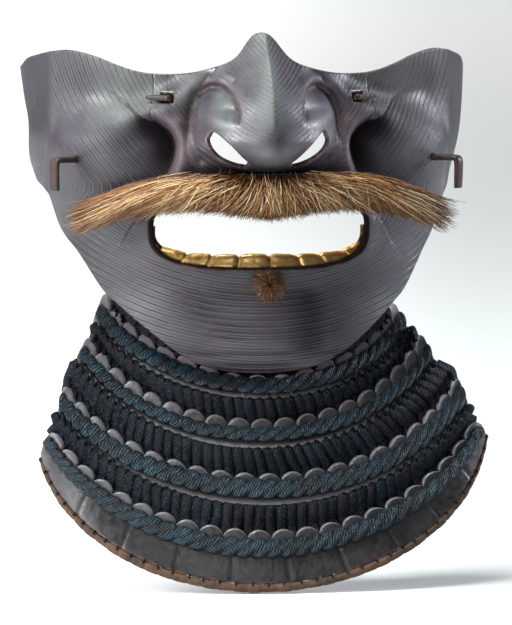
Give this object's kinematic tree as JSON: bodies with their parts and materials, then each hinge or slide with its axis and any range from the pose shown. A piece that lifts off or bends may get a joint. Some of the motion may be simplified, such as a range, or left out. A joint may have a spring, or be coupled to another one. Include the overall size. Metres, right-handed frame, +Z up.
{
  "type": "samurai face guard",
  "caption": "Lacquered half mask for the lower face, with a detachable nose plate, bristle moustache, gilded teeth and a laced throat guard of scale lames.",
  "frame": {"origin": "middle of the hollow for the face, at the height of the mouth, 40 mm in front of where the widest section would turn back", "axes": "+Z up as worn, front of the mask towards -Y, +X to the viewer's right when facing the mask"},
  "size_m": [0.1865, 0.1073, 0.2232],
  "materials": {
    "mask_lacquer": "dark brown-black lacquer, satin, with fine cut lines",
    "gilding": "burnished gilding",
    "hair": "stiff tan bristle",
    "dark_iron": "lacquered iron, satin",
    "scale_lacquer": "grey-brown lacquer, satin, worn at the edges",
    "blue_silk": "twisted blue-green silk cord",
    "dark_silk": "flat braided blue-black silk",
    "rim_leather": "worn brown leather binding"
  },
  "bodies": {
    "root": {"face_plate": "mask_lacquer", "nose_plate": "mask_lacquer", "teeth": "gilding", "moustache": "hair", "chin_tuft": "hair", "cord_hook_left": "dark_iron", "cord_hook_right": "dark_iron", "nose_hook_left": "dark_iron", "nose_hook_right": "dark_iron", "lame_1": "scale_lacquer", "lame_2": "scale_lacquer", "lame_3": "scale_lacquer", "lame_4": "scale_lacquer", "braid_1": "blue_silk", "braid_2": "blue_silk", "braid_3": "blue_silk", "braid_4": "blue_silk", "lacing_1": "dark_silk", "lacing_2": "dark_silk", "lacing_3": "dark_silk", "lacing_4": "dark_silk", "hem_binding": "rim_leather"}
  },
  "joints": []
}
